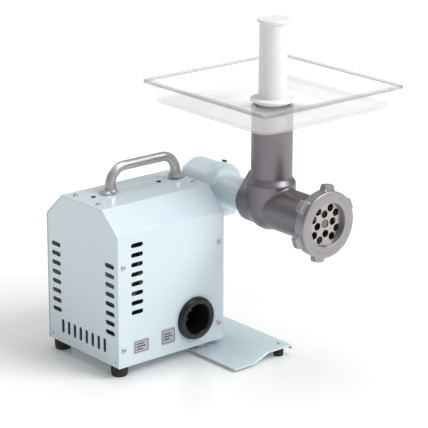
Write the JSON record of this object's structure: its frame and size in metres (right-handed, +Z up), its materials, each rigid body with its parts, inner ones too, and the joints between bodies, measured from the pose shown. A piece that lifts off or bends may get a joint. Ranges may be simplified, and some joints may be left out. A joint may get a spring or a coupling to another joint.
{
  "type": "electric meat grinder",
  "caption": "Electric meat grinder with a sheet metal motor cabinet, worm gearbox, cast mincing head, ring nut, clear tray and pusher.",
  "frame": {"origin": "middle of the whole outline in plan, at the level of the table", "axes": "+X along the cabinet towards the gearbox, -Y out of the outlet, +Z up"},
  "size_m": [0.382, 0.371, 0.519],
  "materials": {
    "housing_paint": "gloss",
    "gearbox_paint": "gloss",
    "zinc_steel": "satin",
    "handle_metal": "satin",
    "foot_rubber": "matte",
    "black_plastic": "matte",
    "bezel_plastic": "gloss",
    "contact_metal": "polished",
    "rocker_plastic": "gloss",
    "badge_metal": "satin",
    "motor_casting": "satin",
    "lamination": "satin",
    "copper_wire": "gloss",
    "ground_steel": "polished",
    "capacitor_shell": "gloss",
    "terminal_plastic": "satin",
    "earth_insulation": "gloss",
    "lead_insulation": "gloss",
    "bronze": "satin",
    "head_metal": "satin",
    "feed_metal": "satin",
    "blade_steel": "polished",
    "plate_steel": "polished",
    "nut_metal": "satin",
    "clear_plastic": "gloss",
    "white_plastic": "satin"
  },
  "bodies": {
    "cabinet": {"front_cover": "housing_paint", "rear_cover": "housing_paint", "end_panel": "housing_paint", "drive_end_panel": "housing_paint", "base_plate": "housing_paint", "support_bracket": "housing_paint", "gearbox_housing": "gearbox_paint", "gearbox_cover": "gearbox_paint", "worm_cap": "gearbox_paint", "foot_screws": "zinc_steel", "handle_screws": "zinc_steel", "front_screws": "zinc_steel", "rear_screws": "zinc_steel", "motor_bolts": "zinc_steel", "gearbox_screws": "zinc_steel", "flange_screws": "zinc_steel", "bracket_spacers": "zinc_steel", "capacitor_clip": "zinc_steel", "motor_stand": "zinc_steel", "handle": "handle_metal", "near_feet": "foot_rubber", "bracket_feet": "foot_rubber", "shaft_seal": "foot_rubber", "hole_plugs": "black_plastic", "inlet_cup": "black_plastic", "switch_frame": "black_plastic", "oil_plug": "black_plastic", "inlet_bezel": "bezel_plastic", "inlet_pins": "contact_metal", "blank_plates": "badge_metal", "rear_bell": "motor_casting", "front_bell": "motor_casting", "stator_core": "lamination", "windings": "copper_wire", "motor_bearings": "ground_steel", "output_bearings": "ground_steel", "worm_bearing": "ground_steel", "run_capacitor": "capacitor_shell", "terminal_block": "terminal_plastic", "earth_wire": "earth_insulation", "supply_wire": "lead_insulation"},
    "switch": {"switch_rocker": "rocker_plastic"},
    "rotor": {"motor_shaft": "ground_steel", "rotor_core": "lamination", "worm": "ground_steel", "cooling_fan": "black_plastic"},
    "output": {"worm_wheel": "bronze", "output_shaft": "ground_steel"},
    "head": {"head_casting": "head_metal", "plate_key": "zinc_steel"},
    "feed": {"feed_screw": "feed_metal", "thrust_washer": "bronze", "knife": "blade_steel"},
    "plate": {"hole_plate": "plate_steel"},
    "nut": {"ring_nut": "nut_metal"},
    "tray": {"tray": "clear_plastic"},
    "pusher": {"pusher": "white_plastic"},
    "lock": {"lock_screw": "black_plastic"}
  },
  "joints": [
    {"name": "switch_rock", "type": "hinge", "parent": "cabinet", "child": "switch", "pos_m": [-0.131, 0.1805, 0.0696], "axis": [-1, 0, 0], "range_deg": [0, 18]},
    {"name": "motor_spin", "type": "hinge", "parent": "cabinet", "child": "rotor", "pos_m": [-0.078, 0.09325, 0.197], "axis": [1, 0, 0], "continuous": true},
    {"name": "output_spin", "type": "hinge", "parent": "cabinet", "child": "output", "pos_m": [0.055, 0.09325, 0.235], "axis": [0, 1, 0], "continuous": true},
    {"name": "head_release", "type": "slide", "parent": "cabinet", "child": "head", "axis": [0, -1, 0], "range_m": [0, 0.06]},
    {"name": "feed_spin", "type": "hinge", "parent": "head", "child": "feed", "pos_m": [0.055, -0.084, 0.235], "axis": [0, 1, 0], "continuous": true},
    {"name": "plate_out", "type": "slide", "parent": "head", "child": "plate", "axis": [0, -1, 0], "range_m": [0, 0.0125]},
    {"name": "nut_turn", "type": "hinge", "parent": "plate", "child": "nut", "pos_m": [0.055, -0.162, 0.235], "axis": [0, -1, 0], "range_deg": [0, 1440]},
    {"name": "tray_lift", "type": "slide", "parent": "head", "child": "tray", "axis": [0, 0, 1], "range_m": [0, 0.06]},
    {"name": "pusher_lift", "type": "slide", "parent": "tray", "child": "pusher", "axis": [0, 0, 1], "range_m": [0, 0.15]},
    {"name": "lock_turn", "type": "hinge", "parent": "cabinet", "child": "lock", "pos_m": [0.085, 0.018, 0.235], "axis": [1, 0, 0], "range_deg": [0, 720]}
  ],
  "couplings": [
    {"joint": "output_spin", "follows": "motor_spin", "ratio": 0.035714},
    {"joint": "feed_spin", "follows": "motor_spin", "ratio": 0.035714},
    {"joint": "plate_out", "follows": "nut_turn", "m_per_rad": 0.00047746}
  ]
}
